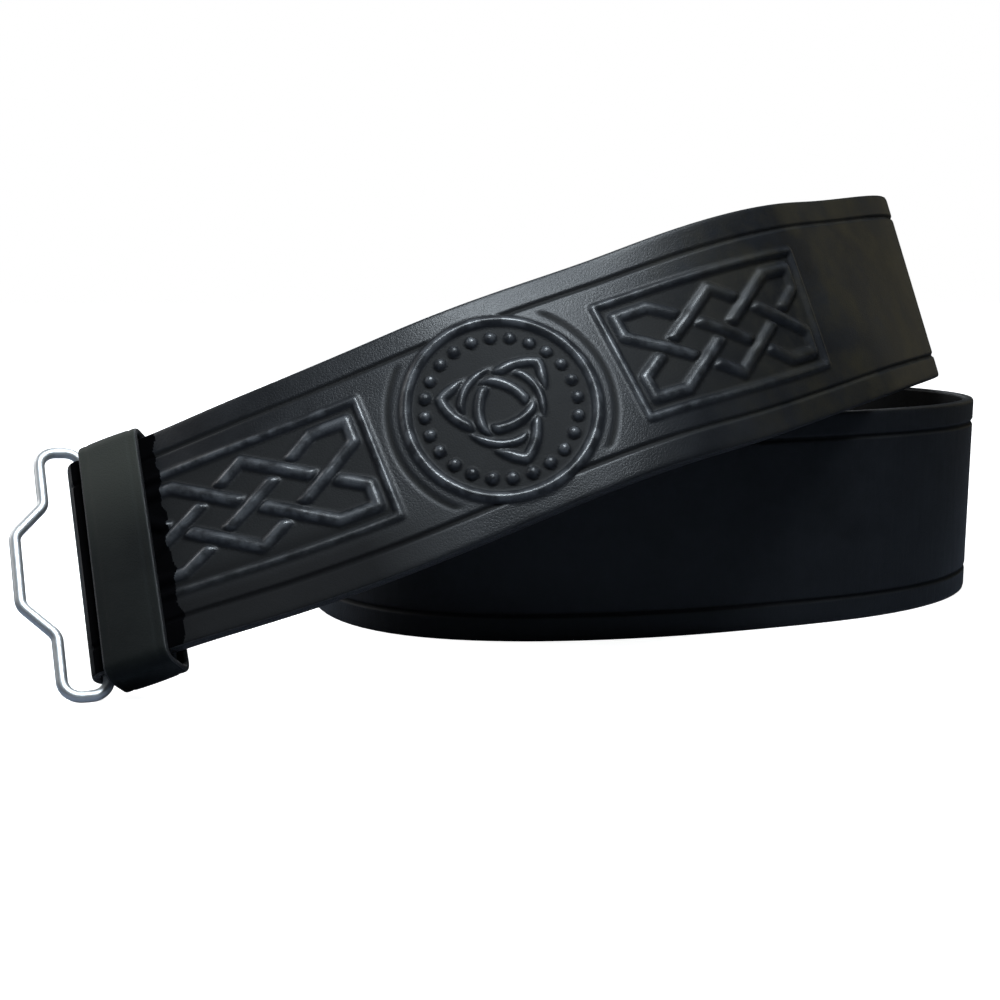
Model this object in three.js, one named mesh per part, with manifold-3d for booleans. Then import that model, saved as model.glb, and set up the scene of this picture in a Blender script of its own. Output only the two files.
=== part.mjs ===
// A wide embossed leather belt, loosely coiled and resting on its lower edge.
// Millimetres and degrees, +Z up, origin under the middle of the coil on the surface it rests on.
import * as THREE from "three";
import { mergeVertices } from "three/addons/utils/BufferGeometryUtils.js";
import Module from "manifold-3d";

// Leather strap, with a pressed border line near each edge of its outer face
const STRAP = { width: 57, thickness: 3, chamfer: 0.6, step: 9 };
const BORDER = { fromEdge: 6.8, depth: 0.5, halfWidth: 0.8 };
const TAIL = { corner: 10, facets: 3 };

// Folded end of the strap, skived thin where it turns round the wire
const FOLD = { tip: -20, flapEnd: -1, flapGap: 0.2, skivedFrom: -12, skivedThickness: 2, facets: 10, turn: 210 };

// Wire loop: reach outward from the bar in the fold, half width across the strap,
// and how far the loop is swung from the strap's plane toward its outer face
const WIRE = { diameter: 2.6, clearance: 0.3, sides: 8, bendRadius: 4, bendFacets: 4 };
const LOOP_OUTLINE = [
  { reach: 0, across: 32.5 },
  { reach: 10, across: 32.5 },
  { reach: 10, across: 17.2 },
  { reach: 17, across: 9.2 },
];
const LOOP_SWING = 36;

// Keeper band round the strap and its folded end, and the room it leaves on each side
const KEEPER = { from: -14.5, to: 0.5, thickness: 2, corner: 1.6, facets: 3 };
const KEEPER_ROOM = { top: 0.6, bottom: 1.6, front: 1.4, back: 0.8 };

// Relief raised from the outer face, placed along and across the strap
const RELIEF_SUNK = 1.2;
const RELIEF_STEP = 12;
const MEDALLION = { at: 85.2, across: 0, radius: 22.3, width: 3, height: 1, facets: 40 };
const BEADS = { count: 24, onRadius: 17.8, radius: 1.25, height: 1, sides: 8 };
const TREFOIL = { lobes: 3, radius: 12.3, width: 2.9, height: 0.9, facets: 10 };
const TREFOIL_RING = { radius: 9.4, width: 2.2, height: 0.8, facets: 20 };
const PANEL = { fromMedallion: 30.8, length: 61, halfHeight: 15.6, ridge: 2.4, height: 0.8 };
const PLAIT = { cells: 3, cell: 17.8, halfHeight: 11.4, width: 3.7, height: 0.9 };

// The way of the strap's middle line through the coil, from the folded end to the tail.
// at: distance along the strap; heading: direction in plan; climb: slope upward;
// lean: how far the upper edge tips toward the inside of the coil.
const ROUTE = [
  { at: -20, heading: -1.5, climb: 20.2, lean: 37.5 },
  { at: 2, heading: -1.5, climb: 20.2, lean: 37.5 },
  { at: 30, heading: 5, climb: 19.6, lean: 33.8 },
  { at: 70, heading: 9.1, climb: 21.6, lean: 30.3 },
  { at: 120, heading: 22.7, climb: 15.1, lean: 33.7 },
  { at: 165, heading: 38.3, climb: 9.7, lean: 18.8 },
  { at: 205, heading: 52.1, climb: 4.5, lean: 24.9 },
  { at: 240, heading: 58.4, climb: 2, lean: 20.2 },
  { at: 275, heading: 93, climb: -9.3, lean: 16.6 },
  { at: 320, heading: 140.2, climb: -18, lean: 5.2 },
  { at: 370, heading: 173.4, climb: -17.6, lean: -5.4 },
  { at: 430, heading: 196, climb: -13.9, lean: -11.6 },
  { at: 490, heading: 234.1, climb: -6.3, lean: -9.8 },
  { at: 540, heading: 267.3, climb: -1.8, lean: -4.7 },
  { at: 580, heading: 293.9, climb: -0.5, lean: -1.9 },
  { at: 630, heading: 348.1, climb: -0.1, lean: 0 },
  { at: 690, heading: 374.6, climb: 0, lean: 0 },
  { at: 745, heading: 386, climb: 0, lean: 0 },
  { at: 790, heading: 416.1, climb: 0, lean: 0 },
  { at: 835, heading: 475.7, climb: 0, lean: 0 },
  { at: 885, heading: 507.9, climb: 0, lean: 0 },
  { at: 945, heading: 547.7, climb: 0, lean: 0 },
  { at: 1000, heading: 597.8, climb: 0, lean: 0 },
  { at: 1060, heading: 672.2, climb: 0, lean: 0 },
];
const FOLD_TIP_IN_PLAN = { x: -112.56, y: -83.38 };
const ROUTE_STEP = 1;

const wasm = await Module();
wasm.setup();

// Secant slope of a route column between two neighbouring rows.
function secant(column, row) {
  const rise = ROUTE[row + 1][column] - ROUTE[row][column];
  return rise / (ROUTE[row + 1].at - ROUTE[row].at);
}

// Slope of the smooth curve through a route column at one of its rows.
function slopeAt(column, row) {
  if (row === 0) return secant(column, 0);
  if (row === ROUTE.length - 1) return secant(column, row - 1);
  const before = ROUTE[row].at - ROUTE[row - 1].at;
  const after = ROUTE[row + 1].at - ROUTE[row].at;
  return (secant(column, row - 1) * after + secant(column, row) * before) / (before + after);
}

// Angle in radians that a route column gives at a distance along the strap.
function routeAngle(column, at) {
  let row = 0;
  while (row < ROUTE.length - 2 && at > ROUTE[row + 1].at) row += 1;
  const span = ROUTE[row + 1].at - ROUTE[row].at;
  const t = (at - ROUTE[row].at) / span;
  const start = (1 + 2 * t) * (1 - t) ** 2 * ROUTE[row][column];
  const startSlope = t * (1 - t) ** 2 * span * slopeAt(column, row);
  const end = t * t * (3 - 2 * t) * ROUTE[row + 1][column];
  const endSlope = t * t * (t - 1) * span * slopeAt(column, row + 1);
  return THREE.MathUtils.degToRad(start + startSlope + end + endSlope);
}

// Directions along, across (toward the upper edge) and out of the strap at a distance along it.
function directionsAt(at) {
  const heading = routeAngle("heading", at);
  const climb = routeAngle("climb", at);
  const lean = routeAngle("lean", at);
  const along = new THREE.Vector3(Math.cos(heading), Math.sin(heading), 0)
    .multiplyScalar(Math.cos(climb))
    .setZ(Math.sin(climb));
  const level = new THREE.Vector3(Math.sin(heading), -Math.cos(heading), 0);
  const upright = level.clone().cross(along);
  const across = upright.clone().multiplyScalar(Math.cos(lean)).addScaledVector(level, -Math.sin(lean));
  const out = level.clone().multiplyScalar(Math.cos(lean)).addScaledVector(upright, Math.sin(lean));
  return { along, across, out };
}

// The strap's middle line, walked in small steps and set so that the lower turn stands on z = 0.
function walkRoute() {
  const stations = [];
  const point = new THREE.Vector3(FOLD_TIP_IN_PLAN.x, FOLD_TIP_IN_PLAN.y, 0);
  const steps = Math.round((ROUTE[ROUTE.length - 1].at - ROUTE[0].at) / ROUTE_STEP);
  for (let i = 0; i <= steps; i += 1) {
    const at = ROUTE[0].at + i * ROUTE_STEP;
    stations.push({ point: point.clone(), ...directionsAt(at) });
    point.addScaledVector(directionsAt(at + ROUTE_STEP / 2).along, ROUTE_STEP);
  }
  const lift = STRAP.width / 2 - stations[steps].point.z;
  stations.forEach((station) => {
    station.point.z += lift;
  });
  return stations;
}
const stations = walkRoute();

// The strap's place and directions at a distance along it, straight on past either end.
function frameAt(at) {
  const last = stations.length - 1;
  const inside = THREE.MathUtils.clamp((at - ROUTE[0].at) / ROUTE_STEP, 0, last);
  const before = Math.min(Math.floor(inside), last - 1);
  const share = inside - before;
  const frame = {};
  for (const key of ["point", "along", "across", "out"])
    frame[key] = stations[before][key].clone().lerp(stations[before + 1][key], share);
  const past = at - ROUTE[0].at - inside * ROUTE_STEP;
  frame.point.addScaledVector(frame.along, past);
  return frame;
}

// Point in space from strap coordinates: along, across and out from the middle of the leather.
function place(at, across, out) {
  const frame = frameAt(at);
  return frame.point.addScaledVector(frame.across, across).addScaledVector(frame.out, out);
}

// Closed mesh through rings of points; an open loft gets end caps, cut from the 2-D contour.
function loft(rings, contour) {
  const count = rings[0].length;
  const faces = [];
  const turns = contour ? rings.length - 1 : rings.length;
  for (let ring = 0; ring < turns; ring += 1) {
    const here = ring * count;
    const next = ((ring + 1) % rings.length) * count;
    for (let i = 0; i < count; i += 1) {
      const j = (i + 1) % count;
      faces.push(here + i, here + j, next + j, here + i, next + j, next + i);
    }
  }
  if (contour) {
    const end = (rings.length - 1) * count;
    for (const [a, b, c] of THREE.ShapeUtils.triangulateShape(contour, []))
      faces.push(a, c, b, end + a, end + b, end + c);
  }
  const geometry = new THREE.BufferGeometry().setFromPoints(rings.flat());
  geometry.setIndex(faces);
  return geometry;
}

// Solid for joining and cutting, from a closed geometry.
function solidOf(geometry) {
  const bare = geometry.clone();
  bare.deleteAttribute("normal");
  bare.deleteAttribute("uv");
  const merged = mergeVertices(bare, 1e-4);
  return new wasm.Manifold(
    new wasm.Mesh({
      numProp: 3,
      vertProperties: merged.attributes.position.array,
      triVerts: new Uint32Array(merged.index.array),
    }),
  );
}

function geometryOf(solid) {
  const mesh = solid.getMesh();
  const geometry = new THREE.BufferGeometry();
  geometry.setAttribute("position", new THREE.BufferAttribute(mesh.vertProperties, 3));
  geometry.setIndex(new THREE.BufferAttribute(mesh.triVerts, 1));
  geometry.computeVertexNormals();
  return geometry;
}

// Cross-section of the strap: x across, y out, in halves of its thickness, bevelled and grooved.
function strapSection(halfThickness) {
  const edge = STRAP.width / 2;
  const bevel = STRAP.chamfer;
  const line = edge - BORDER.fromEdge;
  const groove = halfThickness - BORDER.depth;
  return [
    [-edge + bevel, -halfThickness],
    [edge - bevel, -halfThickness],
    [edge, -halfThickness + bevel],
    [edge, halfThickness - bevel],
    [edge - bevel, halfThickness],
    [line + BORDER.halfWidth, halfThickness],
    [line, groove],
    [line - BORDER.halfWidth, halfThickness],
    [-line + BORDER.halfWidth, halfThickness],
    [-line, groove],
    [-line - BORDER.halfWidth, halfThickness],
    [-edge + bevel, halfThickness],
    [-edge, halfThickness - bevel],
    [-edge, -halfThickness + bevel],
  ].map(([across, out]) => new THREE.Vector2(across, out));
}

// One ring of the strap at a point of its middle line, where the grain side faces (alongOut, out).
function strapRing({ at, out, facing, thickness, widthShare = 1 }) {
  return strapSection(thickness / 2).map((corner) =>
    place(at + corner.y * facing.along, corner.x * widthShare, out + corner.y * facing.out),
  );
}

const eye = {
  wall: FOLD.skivedThickness,
  radius: WIRE.diameter / 2 + WIRE.clearance + FOLD.skivedThickness / 2,
  out: -(STRAP.thickness + FOLD.flapGap) / 2,
};
eye.at = FOLD.tip + eye.radius + eye.wall / 2;

// The strap: flap on the inner side, turn round the wire, then the whole coil to the tail.
function strapGeometry() {
  const rings = [];
  const inward = { along: 0, out: -1 };
  const outward = { along: 0, out: 1 };
  for (let at = FOLD.flapEnd; at > FOLD.skivedFrom; at -= STRAP.step)
    rings.push(strapRing({ at, out: 2 * eye.out, facing: inward, thickness: STRAP.thickness }));
  rings.push(
    strapRing({ at: FOLD.skivedFrom, out: 2 * eye.out, facing: inward, thickness: STRAP.thickness }),
  );
  for (let i = 0; i <= FOLD.facets; i += 1) {
    const angle = THREE.MathUtils.degToRad(-180 + FOLD.turn * (0.5 - i / FOLD.facets));
    const facing = { along: Math.cos(angle), out: Math.sin(angle) };
    const at = eye.at + eye.radius * facing.along;
    rings.push(strapRing({ at, out: eye.out + eye.radius * facing.out, facing, thickness: eye.wall }));
  }
  const tail = ROUTE[ROUTE.length - 1].at;
  const coilSteps = Math.round((tail - TAIL.corner - FOLD.skivedFrom) / STRAP.step);
  const step = (tail - TAIL.corner - FOLD.skivedFrom) / coilSteps;
  for (let i = 0; i <= coilSteps; i += 1) {
    const at = FOLD.skivedFrom + i * step;
    rings.push(strapRing({ at, out: 0, facing: outward, thickness: STRAP.thickness }));
  }
  for (let i = 1; i <= TAIL.facets; i += 1) {
    const angle = (i / TAIL.facets) * (Math.PI / 2);
    const narrowed = (2 * TAIL.corner * (1 - Math.cos(angle))) / STRAP.width;
    const at = tail - TAIL.corner + TAIL.corner * Math.sin(angle);
    const widthShare = 1 - narrowed;
    rings.push(strapRing({ at, out: 0, facing: outward, thickness: STRAP.thickness, widthShare }));
  }
  return loft(rings, strapSection(STRAP.thickness / 2));
}

// Ring of a raised ridge: wide where it meets the leather, narrower on top.
function ridgeRing(at, across, sideways, { width, height }) {
  const face = STRAP.thickness / 2;
  const foot = width * 0.62;
  const top = width * 0.28;
  return [
    [-foot, face - RELIEF_SUNK],
    [foot, face - RELIEF_SUNK],
    [top, face + height],
    [-top, face + height],
  ].map(([side, out]) => place(at + side * sideways.along, across + side * sideways.across, out));
}

const RIDGE_CONTOUR = [
  new THREE.Vector2(-2, 0),
  new THREE.Vector2(2, 0),
  new THREE.Vector2(1, 1),
  new THREE.Vector2(-1, 1),
];

// Straight ridge between two places on the face, as long as its end points and half its width more.
function bar(from, to, spec) {
  const run = new THREE.Vector2(to.at - from.at, to.across - from.across);
  const length = run.length();
  run.normalize();
  const sideways = { along: -run.y, across: run.x };
  const pieces = Math.ceil((length + spec.width) / RELIEF_STEP);
  const rings = [];
  for (let i = 0; i <= pieces; i += 1) {
    const along = -spec.width / 2 + ((length + spec.width) * i) / pieces;
    rings.push(ridgeRing(from.at + run.x * along, from.across + run.y * along, sideways, spec));
  }
  return solidOf(loft(rings, RIDGE_CONTOUR));
}

// Ridge along an arc about a centre on the face, closed where it goes all the way round.
function arcRidge(centre, radius, fromAngle, turn, spec) {
  const whole = turn >= 2 * Math.PI;
  const rings = [];
  for (let i = 0; i < spec.facets + (whole ? 0 : 1); i += 1) {
    const angle = fromAngle + (turn * i) / spec.facets;
    const inward = { along: -Math.cos(angle), across: -Math.sin(angle) };
    const at = centre.at - radius * inward.along;
    rings.push(ridgeRing(at, centre.across - radius * inward.across, inward, spec));
  }
  return solidOf(loft(rings, whole ? null : RIDGE_CONTOUR));
}

// Low dome on the face.
function bead(at, across) {
  const face = STRAP.thickness / 2;
  const tiers = [
    { radius: BEADS.radius, out: face - RELIEF_SUNK },
    { radius: BEADS.radius * 0.6, out: face + BEADS.height },
  ];
  const corners = [];
  for (let i = 0; i < BEADS.sides; i += 1) {
    const angle = (2 * Math.PI * i) / BEADS.sides;
    corners.push(new THREE.Vector2(Math.cos(angle), Math.sin(angle)));
  }
  const rings = tiers.map(({ radius, out }) =>
    corners.map((corner) => place(at + radius * corner.x, across + radius * corner.y, out)),
  );
  return solidOf(loft(rings, corners));
}

// Medallion: round rim, a ring of beads, and a three-lobed knot laced through a small ring.
function medallionRelief() {
  const parts = [arcRidge(MEDALLION, MEDALLION.radius, 0, 2 * Math.PI, MEDALLION)];
  for (let i = 0; i < BEADS.count; i += 1) {
    const angle = (2 * Math.PI * i) / BEADS.count;
    const along = BEADS.onRadius * Math.cos(angle);
    parts.push(bead(MEDALLION.at + along, MEDALLION.across + BEADS.onRadius * Math.sin(angle)));
  }
  const centreRadius = TREFOIL.radius / Math.sqrt(3);
  for (let lobe = 0; lobe < TREFOIL.lobes; lobe += 1) {
    const angle = Math.PI / 2 + (2 * Math.PI * lobe) / TREFOIL.lobes;
    const centre = {
      at: MEDALLION.at + centreRadius * Math.cos(angle),
      across: MEDALLION.across + centreRadius * Math.sin(angle),
    };
    parts.push(arcRidge(centre, TREFOIL.radius, angle + Math.PI / 2, Math.PI, TREFOIL));
  }
  parts.push(arcRidge(MEDALLION, TREFOIL_RING.radius, 0, 2 * Math.PI, TREFOIL_RING));
  return parts;
}

// Panel on one side of the medallion: a rectangular ridge round a plait of four strands.
function panelRelief(side) {
  const near = PANEL.fromMedallion;
  const far = near + PANEL.length;
  const spot = (fromMedallion, across) => ({
    at: MEDALLION.at + side * fromMedallion,
    across: MEDALLION.across + across,
  });
  const frame = { width: PANEL.ridge, height: PANEL.height };
  const high = PANEL.halfHeight;
  const parts = [
    bar(spot(near, high), spot(far, high), frame),
    bar(spot(near, -high), spot(far, -high), frame),
    bar(spot(near, -high), spot(near, high), frame),
    bar(spot(far, -high), spot(far, high), frame),
  ];
  const { cells, cell, halfHeight: top } = PLAIT;
  const first = near + (PANEL.length - cells * cell) / 2;
  const last = first + cells * cell;
  for (const up of [-1, 1]) {
    for (let i = -1; i < cells - 1; i += 1) {
      const start = first + (i + 0.5) * cell;
      const from = Math.max(start, first);
      const to = Math.min(start + 2 * cell, last);
      const heightAt = (x) => up * top * (1 - (x - start) / cell);
      parts.push(bar(spot(from, heightAt(from)), spot(to, heightAt(to)), PLAIT));
    }
    for (const [end, inner] of [[first, first + cell / 2], [last, last - cell / 2]]) {
      parts.push(bar(spot(inner, up * top), spot(end, up * top), PLAIT));
      parts.push(bar(spot(end, up * top), spot(end, (up * top) / 2), PLAIT));
    }
  }
  return parts;
}

function strapMesh() {
  const relief = [...medallionRelief(), ...panelRelief(-1), ...panelRelief(1)];
  const solid = relief.reduce((whole, part) => whole.add(part), solidOf(strapGeometry()));
  const leather = new THREE.MeshStandardMaterial({ color: 0x16171b, roughness: 0.5, metalness: 0 });
  return named("strap", geometryOf(solid), leather);
}

// Closed path of the wire about its bar: the outline mirrored across the strap, its bends rounded.
function loopPath() {
  const half = LOOP_OUTLINE.map(({ reach, across }) => new THREE.Vector2(-reach, across));
  const mirrored = half.map((corner) => new THREE.Vector2(corner.x, -corner.y)).reverse();
  const corners = [...half, ...mirrored];
  return corners.flatMap((corner, i) => {
    const before = corners[(i + corners.length - 1) % corners.length].clone().sub(corner).normalize();
    const after = corners[(i + 1) % corners.length].clone().sub(corner).normalize();
    const halfAngle = before.angleTo(after) / 2;
    const reach = WIRE.bendRadius / Math.tan(halfAngle);
    const middle = before.clone().add(after).normalize();
    const centre = corner.clone().addScaledVector(middle, WIRE.bendRadius / Math.sin(halfAngle));
    const start = corner.clone().addScaledVector(before, reach).sub(centre);
    const end = corner.clone().addScaledVector(after, reach).sub(centre);
    const turn = Math.atan2(start.cross(end), start.dot(end));
    const bend = [];
    for (let k = 0; k <= WIRE.bendFacets; k += 1) {
      const spoke = start.clone().rotateAround(new THREE.Vector2(), (turn * k) / WIRE.bendFacets);
      bend.push({ point: centre.clone().add(spoke), outward: spoke.normalize() });
    }
    return bend;
  });
}

function wireLoopMesh() {
  const frame = frameAt(eye.at);
  const hinge = frame.point.clone().addScaledVector(frame.out, eye.out);
  const swing = THREE.MathUtils.degToRad(LOOP_SWING);
  frame.along.applyAxisAngle(frame.across, swing);
  frame.out.applyAxisAngle(frame.across, swing);
  const radius = WIRE.diameter / 2;
  const path = loopPath();
  const rings = path.map(({ point }, i) => {
    const run = path[(i + 1) % path.length].point.clone().sub(path[(i + path.length - 1) % path.length].point);
    run.normalize();
    const ring = [];
    for (let k = 0; k < WIRE.sides; k += 1) {
      const angle = (2 * Math.PI * (k + 0.5)) / WIRE.sides;
      const side = radius * Math.cos(angle);
      const out = radius * Math.sin(angle);
      ring.push(
        hinge
          .clone()
          .addScaledVector(frame.along, point.x - run.y * side)
          .addScaledVector(frame.across, point.y + run.x * side)
          .addScaledVector(frame.out, out),
      );
    }
    return ring;
  });
  const steel = new THREE.MeshStandardMaterial({ color: 0xc9cccf, roughness: 0.28, metalness: 1 });
  return named("wire_loop", loft(rings, null), steel);
}

// Rounded rectangle as a closed path, x across the strap and y out of it.
function roundedRectangle(path, { low, high, back, front, corner }) {
  const quarter = Math.PI / 2;
  path.absarc(high - corner, front - corner, corner, 0, quarter, false);
  path.absarc(low + corner, front - corner, corner, quarter, 2 * quarter, false);
  path.absarc(low + corner, back + corner, corner, 2 * quarter, 3 * quarter, false);
  path.absarc(high - corner, back + corner, corner, 3 * quarter, 4 * quarter, false);
  path.closePath();
  return path;
}

function keeperMesh() {
  const edge = STRAP.width / 2;
  const inside = {
    low: -edge - KEEPER_ROOM.bottom,
    high: edge + KEEPER_ROOM.top,
    back: 2 * eye.out - STRAP.thickness / 2 - KEEPER_ROOM.back,
    front: STRAP.thickness / 2 + KEEPER_ROOM.front,
    corner: KEEPER.corner,
  };
  const wall = KEEPER.thickness;
  const outside = {
    low: inside.low - wall,
    high: inside.high + wall,
    back: inside.back - wall,
    front: inside.front + wall,
    corner: inside.corner + wall,
  };
  const band = roundedRectangle(new THREE.Shape(), outside);
  band.holes.push(roundedRectangle(new THREE.Path(), inside));
  const geometry = new THREE.ExtrudeGeometry(band, {
    depth: KEEPER.to - KEEPER.from,
    bevelEnabled: false,
    curveSegments: KEEPER.facets,
  });
  const leather = new THREE.MeshStandardMaterial({ color: 0x1c1e1f, roughness: 0.6, metalness: 0 });
  const mesh = named("keeper", geometry, leather);
  const frame = frameAt((KEEPER.from + KEEPER.to) / 2);
  const turned = new THREE.Matrix4().makeBasis(frame.across, frame.out, frame.along);
  mesh.setRotationFromMatrix(turned);
  const start = (KEEPER.from - KEEPER.to) / 2;
  mesh.position.copy(frame.point).addScaledVector(frame.along, start);
  return mesh;
}

function named(name, geometry, material) {
  const mesh = new THREE.Mesh(geometry, material);
  mesh.name = name;
  return mesh;
}

const belt = new THREE.Group();
belt.add(strapMesh(), wireLoopMesh(), keeperMesh());

export default belt;
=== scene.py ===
import math
import bpy
import numpy as np
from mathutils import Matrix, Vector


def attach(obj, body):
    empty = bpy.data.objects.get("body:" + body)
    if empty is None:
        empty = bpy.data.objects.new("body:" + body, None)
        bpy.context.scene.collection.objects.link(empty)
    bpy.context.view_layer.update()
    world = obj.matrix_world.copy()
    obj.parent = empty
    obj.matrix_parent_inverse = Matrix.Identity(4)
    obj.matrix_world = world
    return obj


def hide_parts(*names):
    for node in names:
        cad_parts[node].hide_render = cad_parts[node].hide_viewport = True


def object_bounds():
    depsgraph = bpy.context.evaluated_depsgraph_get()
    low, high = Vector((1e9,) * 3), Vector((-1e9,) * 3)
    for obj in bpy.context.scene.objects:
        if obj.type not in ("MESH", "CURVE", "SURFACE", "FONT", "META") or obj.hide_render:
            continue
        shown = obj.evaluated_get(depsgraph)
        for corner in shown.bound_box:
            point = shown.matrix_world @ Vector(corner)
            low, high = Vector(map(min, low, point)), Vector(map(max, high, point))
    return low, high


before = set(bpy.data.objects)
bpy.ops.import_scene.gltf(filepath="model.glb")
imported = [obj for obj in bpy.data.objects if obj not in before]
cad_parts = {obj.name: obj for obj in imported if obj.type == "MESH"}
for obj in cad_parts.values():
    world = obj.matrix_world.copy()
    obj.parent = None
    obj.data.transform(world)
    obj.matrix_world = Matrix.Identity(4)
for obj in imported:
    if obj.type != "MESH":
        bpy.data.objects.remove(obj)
cad_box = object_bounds()


# Camera
# It stands 0.38 m in front of the middle of the coil, 90 mm above the table, and looks slightly down.
camera_data = bpy.data.cameras.new("camera")
camera_data.sensor_fit = "HORIZONTAL"
camera_data.sensor_width = 36.0
camera_data.lens = 47.59
camera_data.clip_start = 0.01
camera = bpy.data.objects.new("camera", camera_data)
camera.location = (-0.0149, -0.38227, 0.09007)
camera.rotation_euler = (math.radians(80.73), 0.0, 0.0)
bpy.context.scene.collection.objects.link(camera)
bpy.context.scene.camera = camera
bpy.context.scene.view_settings.view_transform = "Standard"


# Table top and studio light
# A plain white table without an edge in view, in a dim room, under one softbox above and in front
# of the embossed stretch, with a weak overhead light, a faint warm card on the right, a card on
# the left that the wire shines in and one behind the coil.
half_table = 6.0
table_mesh = bpy.data.meshes.new("table_top")
table_mesh.from_pydata(
    [
        (-half_table, -half_table, 0.0),
        (half_table, -half_table, 0.0),
        (half_table, half_table, 0.0),
        (-half_table, half_table, 0.0),
    ],
    [],
    [(0, 1, 2, 3)],
)
table_top = bpy.data.objects.new("table_top", table_mesh)
table_top.location.z = cad_box[0][2]
bpy.context.scene.collection.objects.link(table_top)

# The table is lit from below as a white sheet on a light box is, but throws little of that back.
table_paint = bpy.data.materials.new("table_paint")
table_paint.use_nodes = True
nodes = table_paint.node_tree.nodes
link = table_paint.node_tree.links.new
table_shader = nodes["Principled BSDF"]
table_shader.inputs["Base Color"].default_value = (0.2, 0.225, 0.28, 1.0)
table_shader.inputs["Roughness"].default_value = 0.8
table_shader.inputs["Specular IOR Level"].default_value = 0.1
lit_sheet = nodes.new("ShaderNodeBsdfPrincipled")
lit_sheet.inputs["Base Color"].default_value = (0.9, 0.9, 0.9, 1.0)
lit_sheet.inputs["Roughness"].default_value = 0.8
lit_sheet.inputs["Specular IOR Level"].default_value = 0.0
lit_sheet.inputs["Emission Color"].default_value = (1.0, 1.0, 1.0, 1.0)
lit_sheet.inputs["Emission Strength"].default_value = 0.95
seen = nodes.new("ShaderNodeLightPath")
table_mix = nodes.new("ShaderNodeMixShader")
link(seen.outputs["Is Camera Ray"], table_mix.inputs[0])
link(table_shader.outputs[0], table_mix.inputs[1])
link(lit_sheet.outputs[0], table_mix.inputs[2])
link(table_mix.outputs[0], nodes["Material Output"].inputs["Surface"])
table_mesh.materials.append(table_paint)

world = bpy.data.worlds.new("studio")
bpy.context.scene.world = world
world.use_nodes = True
nodes = world.node_tree.nodes
link = world.node_tree.links.new
room = nodes["Background"]
room.inputs["Color"].default_value = (0.78, 0.91, 1.0, 1.0)
room.inputs["Strength"].default_value = 0.072
backdrop = nodes.new("ShaderNodeBackground")
backdrop.inputs["Color"].default_value = (1.0, 1.0, 1.0, 1.0)
seen = nodes.new("ShaderNodeLightPath")
either = nodes.new("ShaderNodeMixShader")
link(seen.outputs["Is Camera Ray"], either.inputs[0])
link(room.outputs[0], either.inputs[1])
link(backdrop.outputs[0], either.inputs[2])
link(either.outputs[0], nodes["World Output"].inputs["Surface"])

overhead_data = bpy.data.lights.new("overhead_light", "SUN")
overhead_data.angle = math.radians(60.0)
overhead_data.energy = 0.16
overhead_data.color = (0.86, 0.94, 1.0)
overhead = bpy.data.objects.new("overhead_light", overhead_data)
overhead.rotation_euler = (math.radians(12.0), 0.0, 0.0)
bpy.context.scene.collection.objects.link(overhead)


def add_card(name, size, watts, color, location, tilt, turn):
    """Rectangular light, its size and place in metres, tilted about X and turned about Z in degrees."""
    data = bpy.data.lights.new(name, "AREA")
    data.shape = "RECTANGLE"
    data.size, data.size_y = size
    data.energy = watts
    data.color = color
    card = bpy.data.objects.new(name, data)
    card.location = location
    card.rotation_euler = (math.radians(tilt), 0.0, math.radians(turn))
    bpy.context.scene.collection.objects.link(card)


add_card(
    "softbox",
    size=(0.12, 0.12),
    watts=1.75,
    color=(0.84, 0.93, 1.0),
    location=(0.0, -0.182, 0.362),
    tilt=22.0,
    turn=20.0,
)
add_card(
    "warm_card",
    size=(0.5, 0.4),
    watts=0.24,
    color=(1.0, 0.85, 0.49),
    location=(0.82, 0.52, 0.32),
    tilt=75.0,
    turn=126.0,
)
add_card(
    "side_card",
    size=(0.4, 0.4),
    watts=1.6,
    color=(1.0, 1.0, 1.0),
    location=(-0.62, 0.14, 0.34),
    tilt=66.0,
    turn=-113.0,
)
add_card(
    "back_card",
    size=(0.5, 0.4),
    watts=4.0,
    color=(0.9, 0.95, 1.0),
    location=(-0.12, 0.78, 0.5),
    tilt=-60.0,
    turn=9.0,
)


# Strap
# One strip of vegetable-tanned cowhide, 57 mm wide and 3 mm thick, dyed black, its edges rounded
# and dyed. Its front end is skived and folded back round the wire. Border lines, two panels of
# interlace and a round medallion are pressed into the grain side.
strap_width = 57.0
strap_thickness = 3.0
border_from_edge = 6.8
border_depth = 0.5
border_half_width = 0.95
tail_corner = 10.0
fold_tip = -20.0
flap_end = -1.0
flap_gap = 0.2
skived_from = -12.0
skived_thickness = 2.0
fold_turn = 210.0
wire_diameter = 2.6
wire_clearance = 0.3

route_columns = ("at", "heading", "climb", "lean")
route = np.array(
    [
        (-20, -1.5, 20.2, 37.5),
        (2, -1.5, 20.2, 37.5),
        (30, 5, 19.6, 33.8),
        (70, 9.1, 21.6, 30.3),
        (120, 22.7, 15.1, 33.7),
        (165, 38.3, 9.7, 18.8),
        (205, 52.1, 4.5, 24.9),
        (240, 58.4, 2, 20.2),
        (275, 93, -9.3, 16.6),
        (320, 140.2, -18, 5.2),
        (370, 173.4, -17.6, -5.4),
        (430, 196, -13.9, -11.6),
        (490, 234.1, -6.3, -9.8),
        (540, 267.3, -1.8, -4.7),
        (580, 293.9, -0.5, -1.9),
        (630, 348.1, -0.1, 0),
        (690, 374.6, 0, 0),
        (745, 386, 0, 0),
        (790, 416.1, 0, 0),
        (835, 475.7, 0, 0),
        (885, 507.9, 0, 0),
        (945, 547.7, 0, 0),
        (1000, 597.8, 0, 0),
        (1060, 672.2, 0, 0),
    ],
    dtype=float,
)
fold_tip_in_plan = (-112.56, -83.38)
route_step = 1.0
tail_end = route[-1, 0]


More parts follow.
